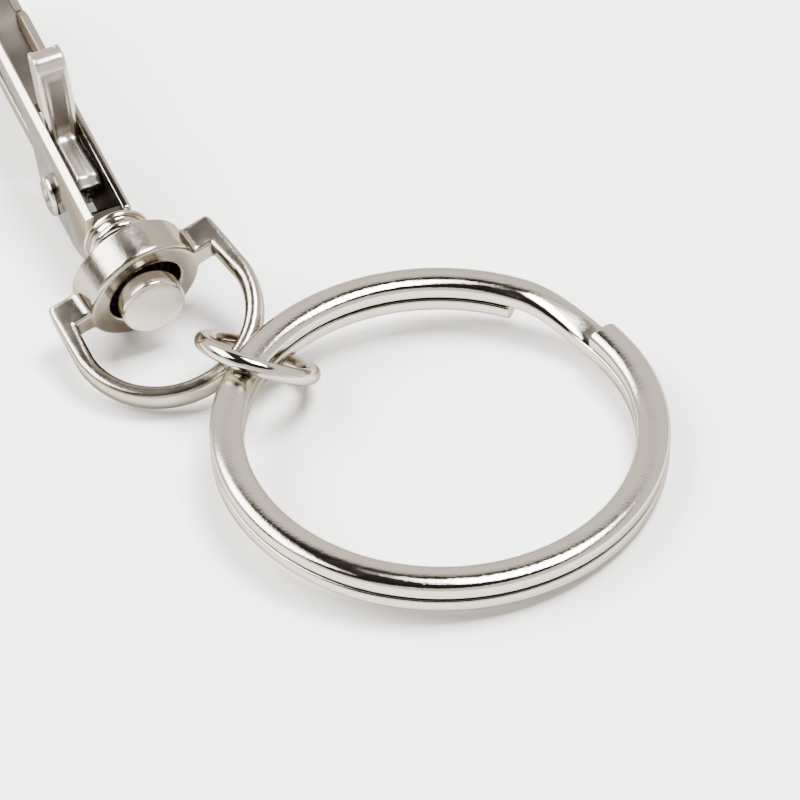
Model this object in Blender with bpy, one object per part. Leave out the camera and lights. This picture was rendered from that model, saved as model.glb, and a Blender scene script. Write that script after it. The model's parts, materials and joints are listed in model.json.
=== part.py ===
"""Split key ring with its link and swivel trigger clasp, lying on a table.

Every loose link is drawn in its own frame and then placed by that frame. The
frames are given relative to the split ring, and the whole chain is tipped so
that it rests on the plane z = 0, as it does when it is put down.
"""

import math

import bmesh
import bpy
from mathutils import Matrix, Vector

MM = 0.001

# ------------------------------------------------------------- driving sizes (mm)
RING_OD = 30.0
RING_BAND = 2.22  # radial width of the flat wire
RING_HEIGHT = 2.63  # both coils together
COIL_GAP = 0.05  # the coils touch; this is the line of the seam
UPPER_END = 39.0  # degrees, where the upper coil is cut
CRANK_START = 67.0  # the wire leaves the upper level here and steps down
CRANK_LENGTH = 27.0  # degrees taken by the step
LOWER_END = 69.0  # degrees, where the lower coil is cut

LINK_RADIUS = 3.80  # centreline
LINK_WIRE = 1.16
LINK_CUT = 3.0  # degrees left open at the cut
LINK_OFFSET = 0.10  # sideways step between the two cut ends

BOW_RADIUS = 6.13  # centreline of the round end
BOW_LEG = 4.865  # from the back of the bar to the start of the round end
BOW_HALF_BAR = 5.68  # centreline of a leg, at the bar
BOW_WIRE = (1.27, 1.85)  # width in the bow's plane, thickness
COLLAR_OD = 8.4
COLLAR_LENGTH = 2.4
COLLAR_BACK = 0.3  # how far the collar stands out behind the bar
COLLAR_WEB = 1.0  # wall left at the bottom of the counterbore
COLLAR_BORE = 3.8
COUNTERBORE = 5.4
STRAP_FILLET = 0.8

PIN_HEAD = (4.45, 1.35)  # diameter, thickness
PIN_SHANK = 2.4
PIN_HEAD_FRONT = -4.0  # along the swivel axis
PIN_NECK = 1.0  # thinner end, which passes through the clasp's end wall
PIN_TAIL = (1.4, 0.5)  # riveted end inside the clasp
WASHER_OD = 4.9
WASHER_BEAD = 4.8  # the rolled bead in front of the flange
WASHER_BORE = 2.52
WASHER = (1.80, 3.40)  # front and back faces along the swivel axis

CLASP_WIDTH = 3.3
SWIVEL_OFFSET = 0.30  # the pin's axis lies this far right of the middle of the channel
SHEET = 0.6
CLASP_START = 3.46
END_WALL = 0.8
TOP_EDGE = 2.3
SHOULDER = 24.6  # where the channel's top edges turn down to the nose
NECK_BOTTOM = -2.2
BOTTOM_EDGE = -4.7
NOSE_CENTRE = (31.85, -2.65)
NOSE_RADIUS = 4.25
MOUTH_CENTRE = (31.2, -2.5)
MOUTH_RADIUS = 3.05
MOUTH_TOP = 0.55
PIVOT = (12.3, -3.2)
RIVET_SHAFT = 1.5
RIVET_BORE = 1.66
RIVET_HEAD = (3.0, 0.35)
LEVER_WIDTH = 1.86
LEVER_SHEET = 0.42
TAB_WIDTH = 2.24  # above the channel
SPRING_WIRE = 0.26
SPRING_RADIUS = 1.02

# --------------------------------------------------------- frames of the links (mm)
# x axis, y axis and origin in the split ring's frame, whose z axis is the ring's own
BOW_FRAME = ((0.844, 0.469, 0.260), (-0.520, 0.834, 0.185), (-20.272, 14.998, -0.142))
SWIVEL_FRAME = ((0.917, 0.352, 0.076), (-0.378, 0.925, 0.025), (-20.495, 15.733, 0.047))
LINK_NORMAL = (0.313, 0.531, 0.788)
LINK_CENTRE = (-12.05, 7.45, -0.27)
LINK_CUT_DIRECTION = (0.80, 0.10, -0.30)

TABLE_NORMAL = (-0.069, 0.030, 1.0)  # in the split ring's frame


def clear_scene():
    for item in list(bpy.data.objects):
        bpy.data.objects.remove(item, do_unlink=True)


def frame_matrix(x_axis, y_axis, origin):
    """A right-handed frame whose y axis is kept exactly."""
    y = Vector(y_axis).normalized()
    z = Vector(x_axis).cross(y).normalized()
    x = y.cross(z)
    turn = Matrix((x, y, z)).transposed().to_4x4()
    return Matrix.Translation(Vector(origin) * MM) @ turn


def facing_matrix(normal, towards, origin):
    """A frame with z along normal and x as near to towards as it can be."""
    z = Vector(normal).normalized()
    x = Vector(towards)
    x = (x - z * x.dot(z)).normalized()
    return Matrix.Translation(Vector(origin) * MM) @ Matrix((x, z.cross(x), z)).transposed().to_4x4()


def world_matrix():
    """Turns the split ring's frame so that the table's normal points up."""
    z = Vector(TABLE_NORMAL).normalized()
    x = (Vector((1, 0, 0)) - z * z.x).normalized()
    return Matrix((x, z.cross(x), z)).to_4x4()


def rest_on_table(pieces):
    """Moves the chain so that its box stands on z = 0 with its middle over the origin."""
    corners = [piece.matrix_world @ vertex.co for piece in pieces for vertex in piece.data.vertices]
    low = Vector([min(corner[i] for corner in corners) for i in range(3)])
    high = Vector([max(corner[i] for corner in corners) for i in range(3)])
    foot = Vector(((low.x + high.x) / 2, (low.y + high.y) / 2, low.z))
    for piece in pieces:
        piece.matrix_world = Matrix.Translation(-foot) @ piece.matrix_world


# ------------------------------------------------------------------- mesh helpers
def material(name, colour, roughness):
    made = bpy.data.materials.new(name)
    made.use_nodes = True
    shader = made.node_tree.nodes["Principled BSDF"]
    shader.inputs["Base Color"].default_value = (*colour, 1.0)
    shader.inputs["Metallic"].default_value = 1.0
    shader.inputs["Roughness"].default_value = roughness
    return made


def finish(mesh_builder, name, matrix, surface, sharp=35.0):
    """Turns a bmesh in millimetres into a placed, named object."""
    bmesh.ops.recalc_face_normals(mesh_builder, faces=mesh_builder.faces)
    bmesh.ops.scale(mesh_builder, vec=(MM, MM, MM), verts=mesh_builder.verts)
    mesh = bpy.data.meshes.new(name)
    mesh_builder.to_mesh(mesh)
    mesh_builder.free()
    mesh.shade_smooth()
    mesh.set_sharp_from_angle(angle=math.radians(sharp))
    made = bpy.data.objects.new(name, mesh)
    bpy.context.scene.collection.objects.link(made)
    made.matrix_world = matrix
    mesh.materials.append(surface)
    return made


def bridge(builder, first, second):
    count = len(first)
    for i in range(count):
        j = (i + 1) % count
        builder.faces.new((first[i], first[j], second[j], second[i]))


def loft(builder, rings, closed=False):
    """Skins a list of point loops; the two ends are capped unless it closes."""
    loops = [[builder.verts.new(point) for point in ring] for ring in rings]
    for first, second in zip(loops, loops[1:]):
        bridge(builder, first, second)
    if closed:
        bridge(builder, loops[-1], loops[0])
    else:
        builder.faces.new(loops[0])
        builder.faces.new(loops[-1])


def rounded_section(width, height, power, sides):
    """A superellipse: power 2 is an ellipse, and larger powers are squarer."""
    points = []
    for i in range(sides):
        angle = math.tau * (i + 0.5) / sides
        c, s = math.cos(angle), math.sin(angle)
        points.append((
            math.copysign(abs(c) ** (2 / power), c) * width / 2,
            math.copysign(abs(s) ** (2 / power), s) * height / 2,
        ))
    return points


def turned(builder, profile, axis, sides=40):
    """Revolves a closed profile of (radius, place along axis) points."""
    rings = []
    for i in range(sides):
        angle = math.tau * i / sides
        c, s = math.cos(angle), math.sin(angle)
        if axis == "Y":
            rings.append([(r * c, along, r * s) for r, along in profile])
        else:
            rings.append([(along, r * c, r * s) for r, along in profile])
    loft(builder, rings, closed=True)


def solid_turned(builder, profile, axis, sides=32):
    """Revolves an open profile that is capped by a flat face at each end."""
    rings = []
    for r, along in profile:
        ring = []
        for i in range(sides):
            angle = math.tau * i / sides
            c, s = r * math.cos(angle), r * math.sin(angle)
            ring.append((c, along, s) if axis == "Y" else (along, c, s))
        rings.append(ring)
    loft(builder, rings)


def slab(builder, outline, low, high):
    """Extrudes an outline of (y, z) points from x = low to x = high."""
    loft(builder, [[(x, y, z) for y, z in outline] for x in (low, high)])


def arc(centre, radius, start, end, steps):
    points = []
    for i in range(steps + 1):
        angle = math.radians(start + (end - start) * i / steps)
        points.append((centre[0] + radius * math.cos(angle), centre[1] + radius * math.sin(angle)))
    return points


def combine(target, other, operation):
    """Applies an exact Boolean and drops the other object."""
    cut = target.modifiers.new("cut", "BOOLEAN")
    cut.operation = operation
    cut.object = other
    cut.solver = "EXACT"
    graph = bpy.context.evaluated_depsgraph_get()
    result = bpy.data.meshes.new_from_object(target.evaluated_get(graph))
    target.modifiers.clear()
    old = target.data
    name = old.name
    target.data = result
    bpy.data.meshes.remove(old)
    result.name = name
    bpy.data.objects.remove(other, do_unlink=True)
    return target


def helper(fill, surface):
    """A temporary body for a Boolean, drawn at the origin."""
    builder = bmesh.new()
    fill(builder)
    return finish(builder, "helper", Matrix.Identity(4), surface)


# ------------------------------------------------------------------------ pieces
def coil_section(flat_side, sides=20):
    """One coil's section; its corners are tight on the flat side, 1 up or -1 down."""
    height = (RING_HEIGHT - COIL_GAP) / 2
    round_part = rounded_section(RING_BAND, height, 2.3, sides)
    square_part = rounded_section(RING_BAND, height, 6.0, sides)
    points = []
    for (rx, rz), (sx, sz) in zip(round_part, square_part):
        share = 0.5 + 0.5 * flat_side * math.copysign(1, rz)
        points.append((rx + (sx - rx) * share, rz + (sz - rz) * share))
    return points


def split_ring(world, surface):
    """Flat wire wound twice, with a crank that steps from the upper coil to the lower."""
    level = (RING_HEIGHT + COIL_GAP) / 4
    crank_from = CRANK_START - 360.0
    stop = LOWER_END - 720.0
    steps = 138
    rings = []
    for i in range(steps + 1):
        angle = UPPER_END + (stop - UPPER_END) * i / steps
        share = min(max((crank_from - angle) / CRANK_LENGTH, 0.0), 1.0)
        ease = share * share * (3 - 2 * share)
        height = level * (1 - 2 * ease)
        c, s = math.cos(math.radians(angle)), math.sin(math.radians(angle))
        radius = (RING_OD - RING_BAND) / 2
        ring = []
        for across, up in coil_section(2 * ease - 1):
            ring.append(((radius + across) * c, (radius + across) * s, height + up))
        rings.append(ring)
    builder = bmesh.new()
    loft(builder, rings)
    return finish(builder, "split_ring", world, surface)


def jump_ring(world, surface):
    """Round wire bent into a ring, with a fine cut whose ends sit slightly out of line."""
    sides, steps = 12, 64
    rings = []
    for i in range(steps + 1):
        share = i / steps
        angle = math.radians(LINK_CUT / 2 + (360 - LINK_CUT) * share)
        c, s = math.cos(angle), math.sin(angle)
        side_step = LINK_OFFSET * (share - 0.5)
        ring = []
        for k in range(sides):
            turn = math.tau * k / sides
            out = LINK_RADIUS + LINK_WIRE / 2 * math.cos(turn)
            ring.append((out * c, out * s, side_step + LINK_WIRE / 2 * math.sin(turn)))
        rings.append(ring)
    builder = bmesh.new()
    loft(builder, rings)
    frame = facing_matrix(LINK_NORMAL, LINK_CUT_DIRECTION, LINK_CENTRE)
    return finish(builder, "jump_ring", world @ frame, surface)


def bow_path():
    """Centreline of the bow's wire in its plane, from one end of the bar to the other."""
    back = COLLAR_LENGTH / 2
    turn = back - BOW_LEG
    legs = 6
    left = []
    for i in range(legs):
        share = 0.12 + 0.88 * i / legs
        left.append((-BOW_HALF_BAR - (BOW_RADIUS - BOW_HALF_BAR) * share, back - BOW_LEG * share))
    right = [(-x, y) for x, y in reversed(left)]
    return left + arc((0, turn), BOW_RADIUS, 180, 360, 30) + right


def bow_wire(builder):
    path = bow_path()
    rings = []
    for i, (x, y) in enumerate(path):
        before, after = path[max(i - 1, 0)], path[min(i + 1, len(path) - 1)]
        along = Vector((after[0] - before[0], after[1] - before[1])).normalized()
        across = Vector((along.y, -along.x))
        ring = []
        for u, v in rounded_section(*BOW_WIRE, 2.8, 16):
            ring.append((x + across.x * u, y + across.y * u, v))
        rings.append(ring)
    loft(builder, rings)


def strap(builder):
    """The bar across the bow, swelling into the collar with a hollow fillet."""
    half_length = BOW_HALF_BAR + BOW_WIRE[0] / 2
    half_thick = BOW_WIRE[1] / 2
    collar = COLLAR_OD / 2 - 0.15
    reach = collar + STRAP_FILLET
    rise = half_thick + STRAP_FILLET
    centre_x = math.sqrt(reach**2 - rise**2)
    start = math.degrees(math.atan2(-rise, -centre_x))
    quarter = arc((centre_x, rise), STRAP_FILLET, start, -90, 5)
    upper = quarter + [(half_length, half_thick)]
    outline = upper + [(x, -z) for x, z in reversed(upper)]
    outline += [(-x, -z) for x, z in upper] + [(-x, z) for x, z in reversed(upper)]
    half = COLLAR_LENGTH / 2 - 0.12
    loft(builder, [[(x, y, z) for x, z in outline] for y in (-half, half)])


def collar_cutter(builder):
    half = COLLAR_LENGTH / 2
    step = half - COLLAR_WEB
    profile = [(COUNTERBORE / 2, -half - 1), (COUNTERBORE / 2, step)]
    profile += [(COLLAR_BORE / 2, step), (COLLAR_BORE / 2, half + 1)]
    solid_turned(builder, profile, "Y", 36)


def swivel_bow(world, surface):
    """D-shaped bow with a bored collar in the middle of its bar, cast in one piece."""
    front, back = -COLLAR_LENGTH / 2, COLLAR_LENGTH / 2 + COLLAR_BACK
    outer = COLLAR_OD / 2
    profile = [(outer - 0.3, front), (outer, front + 0.3), (outer, back - 0.12), (outer - 0.12, back)]
    builder = bmesh.new()
    solid_turned(builder, profile, "Y", 48)
    frame = world @ frame_matrix(*BOW_FRAME)
    bow = finish(builder, "swivel_bow", Matrix.Identity(4), surface)
    combine(bow, helper(strap, surface), "UNION")
    combine(bow, helper(bow_wire, surface), "UNION")
    combine(bow, helper(collar_cutter, surface), "DIFFERENCE")
    bow.matrix_world = frame
    bow.data.set_sharp_from_angle(angle=math.radians(35))
    return bow


def swivel_pin(frame, surface):
    """Headed pin through the collar, riveted over inside the clasp."""
    head, thick = PIN_HEAD
    tail, tail_thick = PIN_TAIL
    tail_face = CLASP_START + END_WALL + 0.05
    back = PIN_HEAD_FRONT + thick
    edge = 0.12
    profile = [
        (head / 2 - edge, PIN_HEAD_FRONT), (head / 2, PIN_HEAD_FRONT + edge), (head / 2, back - edge),
        (head / 2 - edge, back), (PIN_SHANK / 2, back), (PIN_SHANK / 2, WASHER[1]), (PIN_NECK / 2, WASHER[1]),
        (PIN_NECK / 2, tail_face), (tail / 2, tail_face), (tail / 2 - edge, tail_face + tail_thick),
    ]
    builder = bmesh.new()
    solid_turned(builder, profile, "Y", 36)
    return finish(builder, "swivel_pin", frame, surface)


def thrust_washer(frame, surface):
    """Washer rolled from tube: a bead towards the collar and a wider flange on the clasp."""
    front, back = WASHER
    groove = back - 0.45
    flange, bead, inner = WASHER_OD / 2, WASHER_BEAD / 2, WASHER_BORE / 2
    profile = [(inner, front), (bead - 0.45, front), (bead - 0.1, front + 0.2), (bead, front + 0.45)]
    profile += [(bead - 0.1, groove - 0.08), (bead - 0.28, groove), (flange - 0.12, groove + 0.04)]
    profile += [(flange, groove + 0.2), (flange - 0.1, back), (inner, back)]
    builder = bmesh.new()
    turned(builder, profile, "Y", 36)
    return finish(builder, "thrust_washer", frame, surface)


def plate_outline():
    """Side view of the clasp: body, spine, nose and the mouth between them."""
    outer = [(CLASP_START, NECK_BOTTOM), (CLASP_START, TOP_EDGE), (SHOULDER, TOP_EDGE)]
    outer += [(SHOULDER + 0.7, TOP_EDGE - 0.2), (SHOULDER + 1.3, TOP_EDGE - 0.62)]
    outer += arc(NOSE_CENTRE, NOSE_RADIUS, 90, -104, 18)
    inner = arc(MOUTH_CENTRE, MOUTH_RADIUS, -104, 90, 12)
    throat = [(19.5, MOUTH_TOP), (17.4, 0.25), (16.0, -0.9), (15.6, -2.9), (14.9, BOTTOM_EDGE)]
    base = [(8.0, BOTTOM_EDGE), (6.0, -4.0), (4.6, -2.8)]
    return outer + inner + throat + base


def core_outline():
    """What joins the two plates: a web along the mouth, which thickens into the nose."""
    low, high = MOUTH_TOP + 0.02, MOUTH_TOP + SHEET
    inner = arc(MOUTH_CENTRE, MOUTH_RADIUS + 0.05, 85, -102, 12)
    outer = arc(NOSE_CENTRE, NOSE_RADIUS - 0.08, -102, 88, 14)
    top = [(SHOULDER + 1.2, 1.5), (SHOULDER + 0.3, high), (16.9, high)]
    return [(16.6, low)] + inner + outer + top


def clasp_body(frame, surface):
    """Folded sheet channel, open along its top, drawn out into a hooked nose."""
    inner, outer = CLASP_WIDTH / 2 - SHEET, CLASP_WIDTH / 2
    builder = bmesh.new()
    slab(builder, plate_outline(), -outer, -inner)
    body = finish(builder, "clasp_body", Matrix.Identity(4), surface)
    floor = [(5.8, -3.75), (8.0, -4.6), (10.2, -4.6), (10.4, -4.15), (8.1, -4.15), (6.2, -3.4)]
    end_wall = [(CLASP_START + 0.02, NECK_BOTTOM + 0.1), (CLASP_START + 0.02, 1.9)]
    end_wall += [(CLASP_START + END_WALL, 1.9), (CLASP_START + END_WALL, NECK_BOTTOM - 0.2)]
    for outline, low, high in (
        (plate_outline(), inner, outer),
        (core_outline(), -inner - 0.2, inner + 0.2),
        (floor, -inner - 0.2, inner + 0.2),
        (end_wall, -inner - 0.2, inner + 0.2),
    ):
        combine(body, helper(lambda b, o=outline, l=low, h=high: slab(b, o, l, h), surface), "UNION")

    def pivot_bore(b):
        centre_y, centre_z = PIVOT
        ring = arc((centre_y, centre_z), RIVET_BORE / 2, 0, 345, 23)
        slab(b, ring, -3, 3)

    def pin_bore(b):
        solid_turned(b, [(PIN_NECK / 2 + 0.06, CLASP_START - 1), (PIN_NECK / 2 + 0.06, 5.5)], "Y", 24)
        bmesh.ops.translate(b, verts=b.verts, vec=(SWIVEL_OFFSET, 0, 0))

    combine(body, helper(pivot_bore, surface), "DIFFERENCE")
    combine(body, helper(pin_bore, surface), "DIFFERENCE")
    body.matrix_world = frame
    body.data.set_sharp_from_angle(angle=math.radians(35))
    return body


def lever_cheek():
    """Side view of one cheek of the lever, from its tail past the pivot to the gate."""
    tail = [(7.9, 1.75), (7.6, 1.3), (7.9, 0.5), (9.8, -1.2)]
    hub = arc(PIVOT, 1.35, 160, 268, 8)
    gate = [(17.0, -4.75), (30.0, -5.1), (31.7, -5.1), (32.2, -4.65), (32.0, -3.95)]
    back = [(30.0, -3.95), (18.0, -3.55), (15.2, -2.4), (14.0, 0.2), (13.9, 1.4), (13.5, 1.75)]
    return tail + hub + gate + back


def lever(frame, surface):
    """Trigger lever: two cheeks under a top web, a thumb tab and the gate."""
    half = LEVER_WIDTH / 2
    inner = half - LEVER_SHEET
    builder = bmesh.new()
    slab(builder, lever_cheek(), -half, -inner)
    made = finish(builder, "trigger_lever", Matrix.Identity(4), surface)
    web = [(7.85, 1.7), (7.65, 1.3), (8.0, 1.15), (13.5, 1.15), (13.85, 1.4), (13.5, 1.7)]
    head = [(13.15, 6.9), (13.4, 7.7), (13.9, 8.1), (14.6, 8.0), (15.3, 7.5), (15.4, 6.9)]
    stem = [(12.4, 1.3)] + head + [(15.0, 4.5), (14.5, 2.6), (13.95, 1.3)]
    tab = [(12.68, 3.4)] + head + [(15.0, 4.5), (14.72, 3.4)]
    gate = [(16.9, -4.7), (30.0, -5.05), (31.7, -5.05), (32.15, -4.65), (31.95, -4.1), (30.0, -4.0)]
    gate += [(18.0, -3.6), (15.8, -2.75)]
    for outline, low, high in (
        (lever_cheek(), inner, half),
        (web, -half + 0.05, half - 0.05),
        (stem, -half, half),
        (tab, -TAB_WIDTH / 2, TAB_WIDTH / 2),
        (gate, -half + 0.05, half - 0.05),
    ):
        combine(made, helper(lambda b, o=outline, l=low, h=high: slab(b, o, l, h), surface), "UNION")

    def bore(b):
        slab(b, arc(PIVOT, RIVET_BORE / 2, 0, 345, 23), -3, 3)

    combine(made, helper(bore, surface), "DIFFERENCE")
    made.matrix_world = frame
    made.data.set_sharp_from_angle(angle=math.radians(35))
    return made


def pivot_rivet(frame, surface):
    """Rivet across the clasp, on which the lever turns."""
    head, thick = RIVET_HEAD
    face = CLASP_WIDTH / 2 + 0.05
    half = [(RIVET_SHAFT / 2, face), (head / 2, face), (head / 2, face + thick * 0.5)]
    half += [(head / 2 - 0.35, face + thick)]
    profile = [(r, -x) for r, x in reversed(half)] + half
    builder = bmesh.new()
    solid_turned(builder, profile, "X", 24)
    place = frame @ Matrix.Translation(Vector((0, *PIVOT)) * MM)
    return finish(builder, "pivot_rivet", place, surface)


def spring_path():
    """Torsion spring round the rivet: a leg on the floor, the coil and a leg under the tail."""
    turns, steps = 2.5, 50
    pitch = 0.27
    coil = []
    for i in range(steps + 1):
        angle = math.radians(-90) + math.tau * turns * i / steps
        x = pitch * turns * (i / steps - 0.5)
        coil.append(Vector((x, SPRING_RADIUS * math.cos(angle), SPRING_RADIUS * math.sin(angle))))
    start = coil[0] + Vector((0, -3.6, 0.25))
    end = coil[-1] + Vector((0, -3.2, 1.3))
    return [start] + coil + [end]


def return_spring(frame, surface):
    path = spring_path()
    rings = []
    for i, point in enumerate(path):
        along = (path[min(i + 1, len(path) - 1)] - path[max(i - 1, 0)]).normalized()
        side = Vector((1, 0, 0))
        side = (side - along * side.dot(along)).normalized()
        up = along.cross(side)
        ring = []
        for k in range(8):
            turn = math.tau * k / 8
            ring.append(point + (side * math.cos(turn) + up * math.sin(turn)) * SPRING_WIRE / 2)
        rings.append(ring)
    builder = bmesh.new()
    loft(builder, rings)
    place = frame @ Matrix.Translation(Vector((0, *PIVOT)) * MM)
    return finish(builder, "return_spring", place, surface)


def main():
    clear_scene()
    world = world_matrix()
    swivel = world @ frame_matrix(*SWIVEL_FRAME)
    clasp = swivel @ Matrix.Translation((-SWIVEL_OFFSET * MM, 0, 0))
    nickel = (0.66, 0.64, 0.61)
    steel = (0.55, 0.55, 0.55)
    pieces = [
        split_ring(world, material("ring_nickel", nickel, 0.12)),
        jump_ring(world, material("link_nickel", nickel, 0.14)),
        swivel_bow(world, material("bow_nickel", nickel, 0.15)),
        swivel_pin(swivel, material("pin_nickel", nickel, 0.16)),
        thrust_washer(swivel, material("washer_nickel", nickel, 0.14)),
        clasp_body(clasp, material("body_nickel", nickel, 0.12)),
        lever(clasp, material("lever_nickel", nickel, 0.13)),
        pivot_rivet(clasp, material("rivet_nickel", nickel, 0.16)),
        return_spring(clasp, material("spring_steel", steel, 0.3)),
    ]
    rest_on_table(pieces)


main()
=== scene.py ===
"""Looks for the split key ring with its link and swivel trigger clasp.

Each piece is drawn in millimetres in its own link's frame and placed by that frame.
The frames repeat the CAD's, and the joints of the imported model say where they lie.
"""

import json
import math

import bmesh
import bpy
from mathutils import Matrix, Vector, noise


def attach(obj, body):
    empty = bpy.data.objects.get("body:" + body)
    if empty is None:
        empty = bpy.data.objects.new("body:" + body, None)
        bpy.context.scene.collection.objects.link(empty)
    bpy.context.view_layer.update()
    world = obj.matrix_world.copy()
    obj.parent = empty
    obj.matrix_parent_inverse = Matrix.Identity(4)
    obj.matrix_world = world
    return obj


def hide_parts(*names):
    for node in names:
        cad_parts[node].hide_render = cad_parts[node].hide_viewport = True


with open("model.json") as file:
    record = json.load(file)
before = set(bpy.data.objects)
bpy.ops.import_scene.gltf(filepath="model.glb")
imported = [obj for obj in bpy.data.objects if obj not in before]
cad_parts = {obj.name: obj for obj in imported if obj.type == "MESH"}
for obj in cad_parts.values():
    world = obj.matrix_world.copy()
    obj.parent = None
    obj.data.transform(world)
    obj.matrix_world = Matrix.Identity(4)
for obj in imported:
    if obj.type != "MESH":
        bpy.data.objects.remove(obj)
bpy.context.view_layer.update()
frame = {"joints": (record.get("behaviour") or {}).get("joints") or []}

MM = 0.001

# ------------------------------------------------------ sizes shared with the CAD (mm, degrees)
RING_OD = 30.0
RING_BAND = 2.22
RING_HEIGHT = 2.63
COIL_GAP = 0.05
UPPER_END = 39.0  # degrees, like the three below
CRANK_START = 67.0
CRANK_LENGTH = 27.0
LOWER_END = 69.0

LINK_RADIUS = 3.80
LINK_WIRE = 1.16

BOW_RADIUS = 6.13
BOW_LEG = 4.865
BOW_HALF_BAR = 5.68
BOW_WIRE = (1.27, 1.85)
COLLAR_OD = 8.4
COLLAR_LENGTH = 2.4
COLLAR_BACK = 0.3
COLLAR_WEB = 1.0
COLLAR_BORE = 3.8
COUNTERBORE = 5.4
STRAP_FILLET = 0.8

PIN_HEAD = (4.45, 1.35)
PIN_SHANK = 2.4
PIN_NECK = 1.0
PIN_HEAD_FRONT = -4.0
PIN_TAIL = (1.4, 0.5)
WASHER_OD = 4.9
WASHER_BEAD = 4.8
WASHER_BORE = 2.52
WASHER = (1.80, 3.40)

CLASP_WIDTH = 3.3
SWIVEL_OFFSET = 0.30
SHEET = 0.6
CLASP_START = 3.46
END_WALL = 0.8
TOP_EDGE = 2.3
SHOULDER = 24.6
NECK_BOTTOM = -2.2
BOTTOM_EDGE = -4.7
NOSE_CENTRE = (31.85, -2.65)
MOUTH_CENTRE = (31.2, -2.5)
MOUTH_RADIUS = 3.05
MOUTH_TOP = 0.55
PIVOT = (12.3, -3.2)
RIVET_SHAFT = 1.5
RIVET_BORE = 1.66
RIVET_HEAD = (3.0, 0.35)
LEVER_WIDTH = 1.86
LEVER_SHEET = 0.42
TAB_WIDTH = 2.24
SPRING_WIRE = 0.26
SPRING_RADIUS = 1.02

# ------------------------------------------ sizes drawn a little apart from the CAD's (mm, degrees)
RING_MARGIN = 0.025  # the split ring's wire runs this far inside the CAD's, to stay in its box
LINK_CUT = 5.0  # degrees; 3.0 in the CAD, too fine to be seen
LINK_OFFSET = 0.16  # 0.10 in the CAD
NOSE_RADIUS = 4.22  # 4.25 in the CAD, whose coarser nose has to hold this one
STRAP_CORNER = 0.35  # sharp in the CAD, like the two below
STRAP_RIM = 0.28
# Edge profile of the left plate, sheared at a slant: (inset of the outline, depth from the face).
SHEARED_EDGE = [(0.27, 0.0), (0.22, 0.02), (0.19, 0.06), (0.045, 0.40), (0.012, 0.47), (0.0, 0.53)]

# ------------------------------------------------- frames of the links, as the CAD places them
BOW_AXES = ((0.844, 0.469, 0.260), (-0.520, 0.834, 0.185))
BOW_ORIGIN = (-20.272, 14.998, -0.142)
SWIVEL_AXES = ((0.917, 0.352, 0.076), (-0.378, 0.925, 0.025))
LINK_NORMAL = (0.313, 0.531, 0.788)
LINK_CENTRE = (-12.05, 7.45, -0.27)
LINK_CUT_DIRECTION = (0.80, 0.10, -0.30)
TABLE_NORMAL = (-0.069, 0.030, 1.0)

# -------------------------------------------------------------------- camera, in the ring's frame
CAMERA_ELEVATION = 44.3
CAMERA_DISTANCE = 320.0
CAMERA_LENS = 221.5
CAMERA_AIM = (-2.61, 2.21)  # right and up of the ring's centre, in mm

# ------------------------------------------------------------------------- metal, paint and light
WARM = (0.48, 0.440, 0.382)
DULL = (0.345, 0.306, 0.254)
SPRING_STEEL = (0.56, 0.56, 0.57)
EDGE_TINT = (0.42, 0.39, 0.35)  # what the metals reflect at grazing angles
# Near-black colour painted as shade into recesses, seams and the link's cut, and the roughness given where
# it lies.
PAINTED_SHADE = (0.012, 0.010, 0.008)
PAINTED_SHADE_ROUGHNESS = 0.42
GLOSS_RANGE = (0.6, 1.7)  # share of a metal's roughness where it is glossiest and dullest
CLOUD_SCALE = 420.0
FLOOR_PAINT = (0.80, 0.793, 0.778)
FLOOR_ROUGHNESS = 0.6
FLOOR_HALF_SIZE = 1500.0  # mm

WALL = (0.95, 0.92, 0.87, 1)
CEILING = (0.018, 0.014, 0.011, 1)
ROOM_STRENGTH = 1.9
# Dark parts of the room, in degrees: azimuth from +Y towards +X, angle from straight up, and the
# radii where the dark starts to fade and where it ends.
DARK_PATCHES = ((180, 7, 43, 48), (-132, 50, 18, 26), (-98, 69, 10, 15))
# Softboxes: azimuth and angle from straight up in degrees, size across and upwards in m, radiance.
SOFTBOXES = {
    "softbox_right": (72, 20, (0.38, 0.34), 60.0),
    "softbox_left": (-82, 42, (0.75, 0.46), 20.0),
}
SOFTBOX_DISTANCE = 0.8  # m


# ------------------------------------------------------------------------------- link frames
def joint(name):
    return next(j for j in frame["joints"] if j["name"] == name)


def axes_matrix(x_axis, y_axis):
    """A turn whose y axis is kept exactly and whose x axis is as near as it can be."""
    y = Vector(y_axis).normalized()
    z = Vector(x_axis).cross(y).normalized()
    return Matrix((y.cross(z), y, z)).transposed().to_4x4()


def facing_matrix(normal, towards):
    """A turn with z along normal and x as near to towards as it can be."""
    z = Vector(normal).normalized()
    x = Vector(towards)
    x = (x - z * x.dot(z)).normalized()
    return Matrix((x, z.cross(x), z)).transposed().to_4x4()


def ring_turn():
    """From the split ring's own frame to the table's."""
    z = Vector(TABLE_NORMAL).normalized()
    x = (Vector((1, 0, 0)) - z * z.x).normalized()
    return Matrix((x, z.cross(x), z)).to_4x4()


def placed(origin, turn):
    return RING_FRAME @ Matrix.Translation(Vector(origin) * MM) @ turn


RING_FRAME = Matrix.Translation(joint("link_slide")["pos_m"]) @ ring_turn()
LINK_FRAME = placed(LINK_CENTRE, facing_matrix(LINK_NORMAL, LINK_CUT_DIRECTION))
BOW_FRAME = placed(BOW_ORIGIN, axes_matrix(*BOW_AXES))
SWIVEL_FRAME = Matrix.Translation(joint("clasp_swivel")["pos_m"]) @ ring_turn() @ axes_matrix(*SWIVEL_AXES)
CLASP_FRAME = SWIVEL_FRAME @ Matrix.Translation((-SWIVEL_OFFSET * MM, 0, 0))
PIVOT_FRAME = CLASP_FRAME @ Matrix.Translation(Vector((0, *PIVOT)) * MM)


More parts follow.
